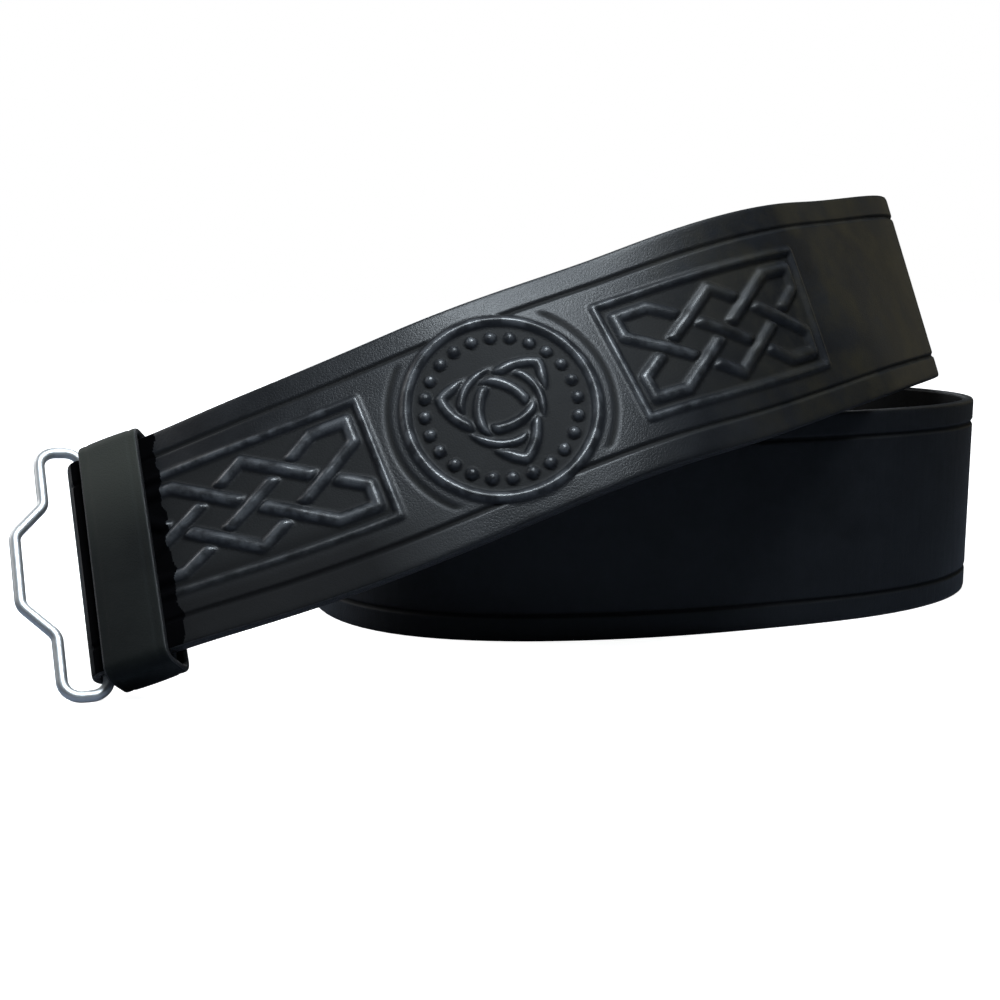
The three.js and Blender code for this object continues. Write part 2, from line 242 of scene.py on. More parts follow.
def route_angle(column, at):
    """Angle in radians that a column of the route gives at distances along the strap."""
    knots = route[:, 0]
    values = route[:, route_columns.index(column)]
    spans = np.diff(knots)
    secants = np.diff(values) / spans
    inner = (secants[:-1] * spans[1:] + secants[1:] * spans[:-1]) / (spans[:-1] + spans[1:])
    slopes = np.concatenate((secants[:1], inner, secants[-1:]))
    row = np.searchsorted(knots[1:-1], at, side="left")
    t = (at - knots[row]) / spans[row]
    angle = (1 + 2 * t) * (1 - t) ** 2 * values[row] + t * (1 - t) ** 2 * spans[row] * slopes[row]
    angle += t * t * (3 - 2 * t) * values[row + 1] + t * t * (t - 1) * spans[row] * slopes[row + 1]
    return np.radians(angle)


def route_directions(at):
    """Directions along, across and out of the strap, each as rows of x, y, z."""
    heading, climb, lean = (route_angle(column, at) for column in route_columns[1:])
    flat = np.zeros_like(heading)
    forward = np.cos(climb)
    along = np.stack((np.cos(heading) * forward, np.sin(heading) * forward, np.sin(climb)), -1)
    level = np.stack((np.sin(heading), -np.cos(heading), flat), -1)
    upright = np.cross(level, along)
    cos_lean = np.cos(lean)[:, None]
    sin_lean = np.sin(lean)[:, None]
    return along, upright * cos_lean - level * sin_lean, level * cos_lean + upright * sin_lean


station_at = np.arange(route[0, 0], tail_end + route_step / 2, route_step)
station_along, station_across, station_out = route_directions(station_at)
station_point = np.zeros((len(station_at), 3))
station_point[0, :2] = fold_tip_in_plan
half_way = route_directions(station_at[:-1] + route_step / 2)[0]
station_point[1:] = station_point[0] + np.cumsum(half_way * route_step, axis=0)
station_point[:, 2] += strap_width / 2 - station_point[-1, 2]


def strap_frame(at):
    """Middle of the leather and its three directions at distances along the strap."""
    inside = np.clip((at - route[0, 0]) / route_step, 0, len(station_at) - 1)
    before = np.minimum(np.floor(inside).astype(int), len(station_at) - 2)
    share = (inside - before)[..., None]
    point, along, across, out = (
        column[before] * (1 - share) + column[before + 1] * share
        for column in (station_point, station_along, station_across, station_out)
    )
    past = (at - route[0, 0] - inside * route_step)[..., None]
    return point + along * past, along, across, out


def on_strap(at, across, out):
    """Points in metres from millimetres along, across and out of the strap."""
    at, across, out = np.broadcast_arrays(np.asarray(at, float), across, out)
    point, _, across_way, out_way = strap_frame(at)
    return (point + across_way * across[..., None] + out_way * out[..., None]) / 1000


def eased(x):
    """Smooth step from 0 to 1."""
    x = np.clip(x, 0, 1)
    return x * x * (3 - 2 * x)


def distance_to_line(at, across, start, end):
    """Distance on the face from a straight line between two spots, and the share along it."""
    run = (end[0] - start[0], end[1] - start[1])
    length_squared = run[0] ** 2 + run[1] ** 2
    share = np.clip(((at - start[0]) * run[0] + (across - start[1]) * run[1]) / length_squared, 0, 1)
    away = np.hypot(at - start[0] - share * run[0], across - start[1] - share * run[1])
    return away, share


def pressed_ridge(distance, width, height, softness=0.8):
    """Height of a rounded ridge at a distance from its middle line."""
    half = width / 2
    foot = 0.25
    return height * eased((half + foot - distance) / (half * softness + 2 * foot))


# The pressed ornament, in millimetres along and across the strap from the medallion's centre
medallion_at = 85.2
medallion_across = 0.0
medallion_radius = 22.3
medallion_ridge = 3.0
medallion_height = 1.0
bead_count = 24
bead_ring_radius = 17.8
bead_radius = 1.25
bead_foot = 0.15
bead_height = 1.0
trefoil_radius = 12.3
trefoil_width = 2.9
trefoil_height = 0.9
small_ring_radius = 9.4
small_ring_width = 2.2
small_ring_height = 0.8
panel_from_medallion = 30.8
panel_length = 61.0
panel_half_height = 15.6
panel_ridge = 2.4
panel_height = 0.8
plait_cells = 3
plait_cell = 17.8
plait_half_height = 11.4
plait_width = 3.7
plait_height = 0.9
over_hump = 0.35
hump_reach = 4.2
crossing_reach = 5.2
crossing_gap = 1.5
outer_line_radius = 26.6
outer_line_depth = 0.35
outer_line_half_width = 1.1
ground_depth = 0.28
ground_edge = 0.4


def laced(under, over_distance, over_width, near):
    """Lowers a strand where another crosses over it, with a gap on each side of that one."""
    gap = eased((over_distance - over_width / 2 + 0.1) / crossing_gap)
    return np.where(near, under * gap, under)


def plait_relief(at, across, side):
    """Height and pressed ground of one panel, mirrored by side."""
    x = (at - medallion_at) * side
    y = across - medallion_across
    near_end = panel_from_medallion
    far_end = near_end + panel_length
    corners = [
        (near_end, panel_half_height),
        (far_end, panel_half_height),
        (far_end, -panel_half_height),
        (near_end, -panel_half_height),
    ]
    height = np.zeros_like(x)
    for start, end in zip(corners, corners[1:] + corners[:1]):
        away, _ = distance_to_line(x, y, start, end)
        height = np.maximum(height, pressed_ridge(away, panel_ridge, panel_height))
    middle = (near_end + far_end) / 2
    inside = np.minimum(panel_length / 2 - abs(x - middle), panel_half_height - abs(y))
    ground = eased((inside - panel_ridge / 2 + ground_edge) / (2 * ground_edge))

    first = near_end + (panel_length - plait_cells * plait_cell) / 2
    last = first + plait_cells * plait_cell
    top = plait_half_height
    strands = {}
    for slope in (-1, 1):
        for i in range(-1, plait_cells - 1):
            begin = first + (i + 0.5) * plait_cell
            x0 = max(begin, first)
            x1 = min(begin + 2 * plait_cell, last)
            y0 = -slope * top * (1 - (x0 - begin) / plait_cell)
            y1 = -slope * top * (1 - (x1 - begin) / plait_cell)
            away, _ = distance_to_line(x, y, (x0, y0), (x1, y1))
            strands[slope, i] = away
    raised = {key: pressed_ridge(away, plait_width, plait_height) for key, away in strands.items()}
    for i in range(-1, plait_cells - 1):
        for j in range(-1, plait_cells - 1):
            row = j - i
            if abs(row) > 1:
                continue
            cross_x = first + (0.5 + (i + j) / 2 + 1) * plait_cell
            cross_y = row * top / 2
            from_crossing = np.hypot(x - cross_x, y - cross_y)
            near = from_crossing < crossing_reach
            over, under = ((-1, j), (1, i)) if row == 0 else ((1, i), (-1, j))
            raised[under] = laced(raised[under], strands[over], plait_width, near)
            hump = eased(1 - from_crossing / hump_reach)
            raised[over] = raised[over] * (1 + over_hump * hump)
    for ridge in raised.values():
        height = np.maximum(height, ridge)
    for up in (-1, 1):
        for end, inner in ((first, first + plait_cell / 2), (last, last - plait_cell / 2)):
            corner = (end, up * top)
            for start, stop in (((inner, up * top), corner), (corner, (end, up * top / 2))):
                away, _ = distance_to_line(x, y, start, stop)
                height = np.maximum(height, pressed_ridge(away, plait_width, plait_height))
    return height, ground


def medallion_relief(at, across):
    """Height and pressed ground of the round medallion."""
    x = at - medallion_at
    y = across - medallion_across
    radius = np.hypot(x, y)
    height = pressed_ridge(abs(radius - medallion_radius), medallion_ridge, medallion_height)
    for k in range(bead_count):
        turn = 2 * math.pi * k / bead_count
        away = np.hypot(x - bead_ring_radius * math.cos(turn), y - bead_ring_radius * math.sin(turn))
        dome = bead_height * np.sqrt(np.clip(1 - (away / (bead_radius + bead_foot)) ** 2, 0, 1))
        height = np.maximum(height, dome)
    lobe_centre = trefoil_radius / math.sqrt(3)
    lobes = []
    for k in range(3):
        turn = math.pi / 2 + 2 * math.pi * k / 3
        dx = x - lobe_centre * math.cos(turn)
        dy = y - lobe_centre * math.sin(turn)
        facing = dx * math.cos(turn) + dy * math.sin(turn)
        ends = [
            np.hypot(dx - s * trefoil_radius * math.sin(turn), dy + s * trefoil_radius * math.cos(turn))
            for s in (-1, 1)
        ]
        # The knot is three overlapping half rings, so the inner half of each is left out.
        ring = abs(np.hypot(dx, dy) - trefoil_radius)
        away = np.where(facing <= 0, ring, np.minimum(*ends))
        side = dx * math.sin(turn) - dy * math.cos(turn)
        lobes.append((away, side))
    raised = [pressed_ridge(away, trefoil_width, trefoil_height) for away, _ in lobes]
    ring_away = abs(radius - small_ring_radius)
    ring = pressed_ridge(ring_away, small_ring_width, small_ring_height)
    inside_tips = radius < small_ring_radius
    for k, (away, side) in enumerate(lobes):
        previous = lobes[(k + 2) % 3][0]
        raised[k] = laced(raised[k], previous, trefoil_width, (side < 0) & inside_tips)
        raised[k] = laced(raised[k], ring_away, small_ring_width, side > 0)
        ring = laced(ring, away, trefoil_width, side < 0)
    for ridge in (*raised, ring):
        height = np.maximum(height, ridge)
    rim_inside = medallion_radius - medallion_ridge / 2
    ground = eased((rim_inside + ground_edge - radius) / (2 * ground_edge))
    return height, ground


def grain_relief(at, across):
    """Height of the whole grain side, ridges, pressed ground, border lines and arcs together."""
    height, ground = medallion_relief(at, across)
    for side in (-1, 1):
        more_height, more_ground = plait_relief(at, across, side)
        height = np.maximum(height, more_height)
        ground = np.maximum(ground, more_ground)
    ground_full_below = 0.3
    groove_full_below = 0.2
    pressed = height - ground_depth * ground * (1 - np.clip(height / ground_full_below, 0, 1))
    radius = np.hypot(at - medallion_at, across - medallion_across)
    line = strap_width / 2 - border_from_edge
    arcs_from_border = 2.0
    arcs_fading = 1.2
    within = eased((line - arcs_from_border - abs(across)) / arcs_fading)
    arc = eased(1 - abs(radius - outer_line_radius) / outer_line_half_width)
    pressed -= outer_line_depth * within * arc
    off_border = abs(abs(across) - line)
    groove = border_depth * (0.5 + 0.5 * np.cos(np.pi * np.clip(off_border / border_half_width, 0, 1)))
    return pressed - groove * (1 - np.clip(height / groove_full_below, 0, 1))


# Rings of the strap from the flap's end, round the wire and along the coil to the tail
eye_radius = wire_diameter / 2 + wire_clearance + skived_thickness / 2
eye_out = -(strap_thickness + flap_gap) / 2
eye_at = fold_tip + eye_radius + skived_thickness / 2
rings = []


def add_ring(at, out, facing, thickness, width_share=1.0):
    """One more ring, its outer side facing an angle from the strap's own direction."""
    rings.append((at, out, math.cos(facing), math.sin(facing), thickness, width_share))


skive_turn = math.radians(-180 + fold_turn / 2)
turn_start = (eye_at + eye_radius * math.cos(skive_turn), eye_out + eye_radius * math.sin(skive_turn))
turn_stop = (turn_start[0], 2 * eye_out - turn_start[1])
# The flap's end is rounded: how far back from it a ring lies, and how much thinner it is there
for back, thinner in ((0.0, 1.1), (0.25, 0.45), (0.8, 0.0)):
    add_ring(flap_end - back, 2 * eye_out, -math.pi / 2, strap_thickness - thinner)
flap_start = flap_end - 2.5
flap_step = 1.6
for at in np.arange(flap_start, skived_from, -flap_step):
    add_ring(at, 2 * eye_out, -math.pi / 2, strap_thickness)
skive_steps = 5
for i in range(skive_steps):
    share = float(eased(i / skive_steps))
    add_ring(
        skived_from + (turn_start[0] - skived_from) * i / skive_steps,
        2 * eye_out + (turn_start[1] - 2 * eye_out) * share,
        -math.pi / 2 + (skive_turn + math.pi / 2) * share,
        strap_thickness + (skived_thickness - strap_thickness) * share,
    )
fold_facets = 32
for i in range(fold_facets + 1):
    angle = math.radians(-180 + fold_turn * (0.5 - i / fold_facets))
    add_ring(
        eye_at + eye_radius * math.cos(angle),
        eye_out + eye_radius * math.sin(angle),
        angle,
        skived_thickness,
    )
end_turn = math.radians(-180 - fold_turn / 2)
for i in range(1, skive_steps + 1):
    share = float(eased(i / skive_steps))
    add_ring(
        turn_stop[0] + (skived_from - turn_stop[0]) * i / skive_steps,
        turn_stop[1] * (1 - share),
        end_turn + (-1.5 * math.pi - end_turn) * share,
        skived_thickness + (strap_thickness - skived_thickness) * share,
    )
ornament_end = 180.0
fine_step = 0.5
coarse_step = 4.5
coil_at = np.concatenate(
    (
        np.arange(skived_from + fine_step, ornament_end, fine_step),
        np.arange(ornament_end + 1.0, tail_end - tail_corner, coarse_step),
    )
)
# Twice as many rings beside the keeper, where the painted shadow of the band ends along a ragged line
shadow_rings_from, shadow_rings_to = 2.25, 5.0
coil_at = np.sort(np.concatenate((coil_at, np.arange(shadow_rings_from, shadow_rings_to, fine_step))))
for at in coil_at:
    add_ring(at, 0.0, math.pi / 2, strap_thickness)
tail_facets = 12
tail_thinning = (0.0, 0.4, 1.1)
for i in range(tail_facets + 1):
    angle = i / tail_facets * math.pi / 2
    narrowed = 2 * tail_corner * (1 - math.cos(angle)) / strap_width
    thinner = tail_thinning[max(0, i - tail_facets + 2)]
    add_ring(
        tail_end - tail_corner + tail_corner * math.sin(angle),
        0.0,
        math.pi / 2,
        strap_thickness - thinner,
        1 - narrowed,
    )
ring_at, ring_out, ring_facing_along, ring_facing_out, ring_thickness, ring_share = np.array(rings).T

# Section of the strap: the flesh side, one edge, the grain side from edge to edge, the other edge.
# The rows of an edge give the place across and how far the face is rounded in there.
half_width = strap_width / 2
line_at = half_width - border_from_edge
flat_half_width = 27.2
edge_rows = [(27.75, 0.05), (28.15, 0.17), (28.39, 0.42), (28.5, 0.85)]
row_step = 0.5
groove_rows = np.linspace(-1.2, 1.2, 9)
grain_rows = np.concatenate(
    (
        np.arange(0.0, line_at - 1.4, row_step),
        line_at + groove_rows,
        np.linspace(line_at + 1.7, flat_half_width, 6),
    )
)
grain_rows = np.concatenate((-grain_rows[:0:-1], grain_rows))
flesh_rows = np.linspace(-flat_half_width, flat_half_width, 15)
section = [(row, -1, 0.0) for row in flesh_rows]
section += [(row, -1, inset) for row, inset in edge_rows]
section += [(row, 1, inset) for row, inset in reversed(edge_rows)]
grain_first = len(section)
section += [(row, 1, 0.0) for row in grain_rows[::-1]]
grain_last = len(section)
section += [(-row, 1, inset) for row, inset in edge_rows]
section += [(-row, -1, inset) for row, inset in reversed(edge_rows)]
section_across, section_side, section_inset = np.array(section).T
count = len(section)

across_grid = section_across[None, :] * ring_share[:, None]
offset = section_side[None, :] * (ring_thickness[:, None] / 2 - section_inset[None, :])
relief = np.zeros_like(offset)
on_face = ring_facing_out > 0.9
face_across = across_grid[on_face][:, grain_first:grain_last]
face_at = np.broadcast_to(ring_at[on_face][:, None], face_across.shape)
relief[np.ix_(on_face, range(grain_first, grain_last))] = grain_relief(face_at, face_across)
# Pressing has left the embossed stretch slightly round across its width.
cup_depth = 0.4
cup_start, cup_full = 4.0, 34.0
cup_fading, cup_end = 190.0, 250.0
cupped = cup_depth * on_face * eased((ring_at - cup_start) / (cup_full - cup_start))
cupped *= eased((cup_end - ring_at) / (cup_end - cup_fading))
offset += relief - cupped[:, None] * (across_grid / half_width) ** 2
strap_points = on_strap(
    ring_at[:, None] + offset * ring_facing_along[:, None],
    across_grid,
    ring_out[:, None] + offset * ring_facing_out[:, None],
)

ring_index = np.arange(len(rings) - 1)[:, None] * count
here = np.arange(count)[None, :]
there = (np.arange(count)[None, :] + 1) % count
quads = np.stack(
    (ring_index + here, ring_index + there, ring_index + count + there, ring_index + count + here), -1
).reshape(-1, 4)
last_ring = (len(rings) - 1) * count
caps = [list(range(count))[::-1], [last_ring + i for i in range(count)]]
strap_mesh = bpy.data.meshes.new("belt_strap")
strap_mesh.from_pydata(strap_points.reshape(-1, 3).tolist(), [], quads.tolist() + caps)
for name, values in (
    ("rise", np.clip(relief, -1, 1)),
    ("along", np.repeat(ring_at[:, None], count, 1) / 1000),
    ("across", across_grid / 1000),
):
    layer = strap_mesh.attributes.new(name, "FLOAT", "POINT")
    layer.data.foreach_set("value", values.reshape(-1).astype(np.float32))

# A material slot for each face. The grain side takes in the nearest rounded rows of both edges.
column = np.tile(np.arange(count), len(rings) - 1)
is_flesh = (column < len(flesh_rows)) | (column >= count - 1)
is_grain = (column >= grain_first - 2) & (column < grain_last + 1)
grain_slot, flesh_slot, edge_slot, shadow_slot = range(4)
slot_of_face = np.where(is_flesh, flesh_slot, np.where(is_grain, grain_slot, edge_slot))
# Grain faces in a ragged strip beside the keeper take a near-black dull material, a painted shadow of
# the band.
shadow_strip_end = 3.5
slow_wave = 0.45 * np.sin(section_across * 0.5)
quick_wave = 0.25 * np.sin(section_across * 1.2 + 1.0)
shadow_edge = np.tile(shadow_strip_end + slow_wave + quick_wave, len(rings) - 1)
on_grain = np.repeat(on_face[:-1], count) & (slot_of_face == grain_slot)
slot_of_face[on_grain & (np.repeat(ring_at[:-1], count) < shadow_edge)] = shadow_slot
slot_of_face = np.concatenate((slot_of_face, [edge_slot, edge_slot]))


def noise(tree, place, scale, detail, roughness=0.5):
    """Noise of a place, with its scale in features per unit of that place."""
    node = tree.nodes.new("ShaderNodeTexNoise")
    node.inputs["Scale"].default_value = scale
    node.inputs["Detail"].default_value = detail
    node.inputs["Roughness"].default_value = roughness
    tree.links.new(place, node.inputs["Vector"])
    return node.outputs["Fac"]


def ramp(tree, value, start, end, at_start=0.0, at_end=1.0):
    """Goes from one number to another while a value goes from start to end, and not past them."""
    node = tree.nodes.new("ShaderNodeMapRange")
    node.inputs["From Min"].default_value = start
    node.inputs["From Max"].default_value = end
    node.inputs["To Min"].default_value = at_start
    node.inputs["To Max"].default_value = at_end
    tree.links.new(value, node.inputs["Value"])
    return node.outputs["Result"]


def product(tree, first, second):
    """One value times another."""
    node = tree.nodes.new("ShaderNodeMath")
    node.operation = "MULTIPLY"
    tree.links.new(first, node.inputs[0])
    tree.links.new(second, node.inputs[1])
    return node.outputs[0]


def plus(tree, base, amount, value):
    """A value times a fixed amount, added to a base."""
    node = tree.nodes.new("ShaderNodeMath")
    node.operation = "MULTIPLY_ADD"
    node.inputs[1].default_value = amount
    tree.links.new(value, node.inputs[0])
    tree.links.new(base, node.inputs[2])
    return node.outputs[0]


def colour_over(tree, base, tone, mask):
    """A base colour with another colour over it where the mask is 1."""
    node = tree.nodes.new("ShaderNodeMix")
    node.data_type = "RGBA"
    node.inputs["B"].default_value = (*tone, 1.0)
    tree.links.new(mask, node.inputs["Factor"])
    tree.links.new(base, node.inputs["A"])
    return node.outputs["Result"]


def attribute(tree, name):
    """A number that the mesh carries at its points."""
    node = tree.nodes.new("ShaderNodeAttribute")
    node.attribute_name = name
    return node.outputs["Fac"]


def leather_group():
    """Grain and dye of leather, for every leather surface of the belt."""
    group = bpy.data.node_groups.new("leather_grain", "ShaderNodeTree")
    for name, kind, value in (
        ("Vector", "NodeSocketVector", None),
        ("Cells per metre", "NodeSocketFloat", 900.0),
        ("Dye", "NodeSocketColor", (0.012, 0.013, 0.015, 1.0)),
        ("Rubbed dye", "NodeSocketColor", (0.03, 0.032, 0.036, 1.0)),
        ("Roughness", "NodeSocketFloat", 0.5),
    ):
        socket = group.interface.new_socket(name, in_out="INPUT", socket_type=kind)
        if value is not None:
            socket.default_value = value
    for name, kind in (
        ("Color", "NodeSocketColor"),
        ("Roughness", "NodeSocketFloat"),
        ("Height", "NodeSocketFloat"),
    ):
        group.interface.new_socket(name, in_out="OUTPUT", socket_type=kind)
    nodes = group.nodes
    link = group.links.new
    given = nodes.new("NodeGroupInput")
    made = nodes.new("NodeGroupOutput")
    place = given.outputs["Vector"]

    # Small pebbles of the grain, shrunk unevenly, with fine creases between them
    wander = nodes.new("ShaderNodeTexNoise")
    wander.inputs["Scale"].default_value = 140.0
    wander.inputs["Detail"].default_value = 3.0
    link(place, wander.inputs["Vector"])
    wander_distance = 0.0016
    shift = nodes.new("ShaderNodeVectorMath")
    shift.operation = "MULTIPLY_ADD"
    shift.inputs[1].default_value = (wander_distance, wander_distance, wander_distance)
    link(wander.outputs["Color"], shift.inputs[0])
    link(place, shift.inputs[2])
    pebbles = nodes.new("ShaderNodeTexVoronoi")
    pebbles.feature = "DISTANCE_TO_EDGE"
    link(shift.outputs[0], pebbles.inputs["Vector"])
    link(given.outputs["Cells per metre"], pebbles.inputs["Scale"])
    crease = ramp(group, pebbles.outputs["Distance"], 0.0, 0.22)
    pores = noise(group, place, 2600.0, 2.0)
    folds = noise(group, place, 160.0, 4.0)
    with_pores = plus(group, crease, 0.45, pores)
    link(plus(group, with_pores, 2.2, folds), made.inputs["Height"])

    # Dye that took unevenly over the hide
    patches = noise(group, place, 45.0, 6.0, 0.65)
    dyed = nodes.new("ShaderNodeMix")
    dyed.data_type = "RGBA"
    link(ramp(group, patches, 0.38, 0.72), dyed.inputs["Factor"])
    link(given.outputs["Dye"], dyed.inputs["A"])
    link(given.outputs["Rubbed dye"], dyed.inputs["B"])
    link(dyed.outputs["Result"], made.inputs["Color"])
    link(plus(group, given.outputs["Roughness"], 0.16, patches), made.inputs["Roughness"])
    return group


leather_grain = leather_group()


def leather(name, cells, tone, rubbed_dye, roughness, specular, bump, bump_distance):
    """Material of one leather surface, with its grain group and bump in place."""
    material = bpy.data.materials.new(name)
    material.use_nodes = True
    nodes = material.node_tree.nodes
    link = material.node_tree.links.new
    shader = nodes["Principled BSDF"]
    shader.inputs["Specular IOR Level"].default_value = specular
    place = nodes.new("ShaderNodeTexCoord")
    grain = nodes.new("ShaderNodeGroup")
    grain.node_tree = leather_grain
    grain.inputs["Cells per metre"].default_value = cells
    grain.inputs["Dye"].default_value = (*tone, 1.0)
    grain.inputs["Rubbed dye"].default_value = (*rubbed_dye, 1.0)
    grain.inputs["Roughness"].default_value = roughness
    link(place.outputs["Object"], grain.inputs["Vector"])
    raised = nodes.new("ShaderNodeBump")
    raised.name = "raised"
    raised.inputs["Strength"].default_value = bump
    raised.inputs["Distance"].default_value = bump_distance
    link(grain.outputs["Height"], raised.inputs["Height"])
    link(raised.outputs["Normal"], shader.inputs["Normal"])
    link(grain.outputs["Color"], shader.inputs["Base Color"])
    link(grain.outputs["Roughness"], shader.inputs["Roughness"])
    return material, grain, shader


# Grain side: black dye; the ridges paler and waxed, the paler colour partly rubbing and partly a
# painted highlight; the pressed ground dull and darker, the darker colour a painted shade
grain_side, grain_node, grain_shader = leather(
    "black_grain_leather",
    cells=1300.0,
    tone=(0.004, 0.0045, 0.0058),
    rubbed_dye=(0.0108, 0.0118, 0.0142),
    roughness=0.34,
    specular=0.28,
    bump=0.3,
    bump_distance=0.00006,
)
tree = grain_side.node_tree
link = tree.links.new
rise = attribute(tree, "rise")
along_strap = attribute(tree, "along")
across_strap = attribute(tree, "across")
hide_place = tree.nodes.new("ShaderNodeTexCoord").outputs["Object"]

# Ridges are rubbed unevenly, and those of the right panel less than the end that is handled. Their
# paler colour is partly that rubbing and partly a painted highlight on the raised tops.
ridge_tops = ramp(tree, rise, 0.12, 0.75)
uneven = ramp(tree, noise(tree, hide_place, 260.0, 3.0), 0.4, 0.62, 0.15, 1.25)
handled = ramp(tree, along_strap, 0.11, 0.15, 1.0, 0.25)
wear_and_highlight = product(tree, product(tree, ridge_tops, uneven), handled)
# The pressed ground gets a darker colour, a painted shade in the recesses, and more roughness.
painted_hollow_shade = ramp(tree, rise, 0.0, -0.3)
# Paler colour on the ridge tops: rubbing and a painted highlight.
tone = colour_over(tree, grain_node.outputs["Color"], (0.05, 0.0525, 0.0575), wear_and_highlight)
tone = colour_over(tree, tone, (0.0018, 0.0019, 0.0022), painted_hollow_shade)
dullness = plus(tree, grain_node.outputs["Roughness"], 0.34, painted_hollow_shade)
dullness = plus(tree, dullness, -0.12, wear_and_highlight)
wax = tree.nodes.new("ShaderNodeMath")
wax.operation = "MULTIPLY"
wax.inputs[1].default_value = 0.4
link(wear_and_highlight, wax.inputs[0])
link(wax.outputs[0], grain_shader.inputs["Coat Weight"])
grain_shader.inputs["Coat Roughness"].default_value = 0.38

# The lower margin of the handled end is darker, a painted shade on the side turned from the light, and
# has lost its gloss.
low_margin = ramp(tree, across_strap, -0.01, -0.019)
near_end = ramp(tree, along_strap, 0.07, 0.045)
painted_margin_shade = product(tree, low_margin, near_end)
# Darker colour along the lower margin: painted shade.
tone = colour_over(tree, tone, (0.001, 0.001, 0.0014), painted_margin_shade)
dullness = plus(tree, dullness, 0.4, painted_margin_shade)

# Towards the bend the leather is patchy olive and brown, a painted warm reflection, and the gloss is
# lower.
before_bend = ramp(tree, along_strap, 0.12, 0.175)
past_bend = ramp(tree, along_strap, 0.33, 0.27)
tint_patches = ramp(tree, noise(tree, hide_place, 75.0, 5.0, 0.62), 0.4, 0.66)
painted_warm_reflection = product(tree, product(tree, before_bend, past_bend), tint_patches)
tone = colour_over(tree, tone, (0.019, 0.0165, 0.0105), painted_warm_reflection)
dullness = plus(tree, dullness, 0.1, before_bend)
link(tone, grain_shader.inputs["Base Color"])
link(dullness, grain_shader.inputs["Roughness"])

# Fine creases across the strap where it turns round the coil's front right
on_hide = tree.nodes.new("ShaderNodeCombineXYZ")
link(along_strap, on_hide.inputs["X"])
link(across_strap, on_hide.inputs["Y"])
creases_along = 520.0
creases_across = 60.0
stretched = tree.nodes.new("ShaderNodeVectorMath")
stretched.operation = "MULTIPLY"
stretched.inputs[1].default_value = (creases_along, creases_across, 1.0)
link(on_hide.outputs[0], stretched.inputs[0])
creases = noise(tree, stretched.outputs[0], 1.0, 3.0)
creased = product(tree, creases, ramp(tree, along_strap, 0.2, 0.26))
creased_grain = plus(tree, grain_node.outputs["Height"], 5.0, creased)
link(creased_grain, tree.nodes["raised"].inputs["Height"])

# Flesh side: black nap, soft and dull
flesh_side, _, _ = leather(
    "black_flesh_leather",
    cells=2100.0,
    tone=(0.006, 0.0058, 0.0058),
    rubbed_dye=(0.013, 0.0126, 0.0121),
    roughness=0.85,
    specular=0.1,
    bump=0.8,
    bump_distance=0.0002,
)

# Cut edges: rubbed smooth and dyed black
cut_edge, _, _ = leather(
    "black_edge_dye",
    cells=1500.0,
    tone=(0.003, 0.003, 0.0036),
    rubbed_dye=(0.007, 0.007, 0.008),
    roughness=0.5,
    specular=0.5,
    bump=0.5,
    bump_distance=0.00015,
)

# A ragged strip beside the keeper, near black and without gloss: a painted shadow of the band on the
# strap
keeper_shadow_leather, _, _ = leather(
    "painted_keeper_shadow",
    cells=1300.0,
    tone=(0.0006, 0.0006, 0.0008),
    rubbed_dye=(0.0014, 0.0014, 0.0018),
    roughness=0.8,
    specular=0.02,
    bump=0.3,
    bump_distance=0.00006,
)

for material in (grain_side, flesh_side, cut_edge, keeper_shadow_leather):
    strap_mesh.materials.append(material)
strap_mesh.polygons.foreach_set("material_index", slot_of_face.astype(np.int32))
strap_mesh.polygons.foreach_set("use_smooth", np.ones(len(strap_mesh.polygons), dtype=bool))
strap_mesh.update()
strap = bpy.data.objects.new("belt_strap", strap_mesh)
bpy.context.scene.collection.objects.link(strap)
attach(strap, "belt")
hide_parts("strap")


# Wire loop
# One closed loop of bright mild steel wire, 2.6 mm thick, bent with rounded corners round a former.
# Its straight bar lies in the strap's fold and its stepped nose takes the hook of a buckle.
loop_outline = ((0.0, 32.5), (10.0, 32.5), (10.0, 17.2), (17.0, 9.2))
loop_swing = math.radians(36.0)
bend_radius = 4.0
bend_facets = 12
wire_sides = 24
wire_step = 1.2

half_loop = [np.array((-reach, across)) for reach, across in loop_outline]
loop_corners = half_loop + [corner * (1, -1) for corner in reversed(half_loop)]
wire_path = []
for i, corner in enumerate(loop_corners):
    before = loop_corners[i - 1] - corner
    after = loop_corners[(i + 1) % len(loop_corners)] - corner
    before = before / np.hypot(*before)
    after = after / np.hypot(*after)
    half_angle = math.acos(float(np.clip(before @ after, -1, 1))) / 2
    middle = (before + after) / np.hypot(*(before + after))
    centre = corner + middle * bend_radius / math.sin(half_angle)
    start = corner + before * bend_radius / math.tan(half_angle) - centre
    stop = corner + after * bend_radius / math.tan(half_angle) - centre
    turn = math.atan2(start[0] * stop[1] - start[1] * stop[0], start @ stop)
    for k in range(bend_facets + 1):
        c = math.cos(turn * k / bend_facets)
        s = math.sin(turn * k / bend_facets)
        wire_path.append(centre + np.array((start[0] * c - start[1] * s, start[0] * s + start[1] * c)))
